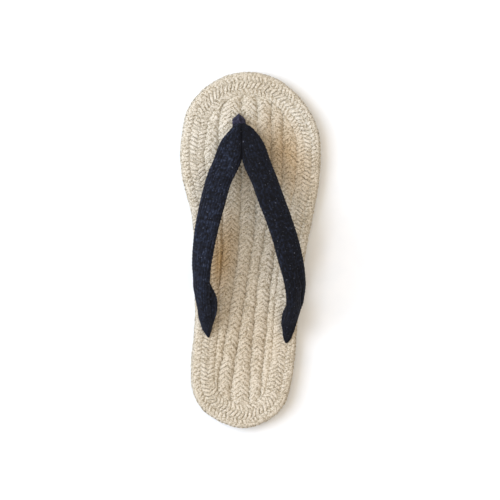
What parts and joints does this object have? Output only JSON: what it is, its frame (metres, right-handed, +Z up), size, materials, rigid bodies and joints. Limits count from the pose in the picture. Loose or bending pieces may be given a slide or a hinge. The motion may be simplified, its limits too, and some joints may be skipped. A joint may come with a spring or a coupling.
{
  "type": "braided flip-flop",
  "caption": "Right-foot flip-flop with a flat coiled braid sole, a stuffed braided V strap and a short toe post.",
  "frame": {"origin": "on the floor under the middle of the sole's outline", "axes": "+Y along the sole to the toe, +Z up, +X to the outer side of the right foot"},
  "size_m": [0.0985, 0.25, 0.0568],
  "materials": {
    "sole_braid": "undyed braided cotton, matt",
    "strap_braid": "midnight navy braided cotton, matt",
    "post_cord": "dark indigo cotton cord, matt"
  },
  "bodies": {
    "root": {"sole_core": "sole_braid", "sole_inner_round": "sole_braid", "sole_outer_round": "sole_braid", "strap": "strap_braid", "toe_post": "post_cord"}
  },
  "joints": []
}
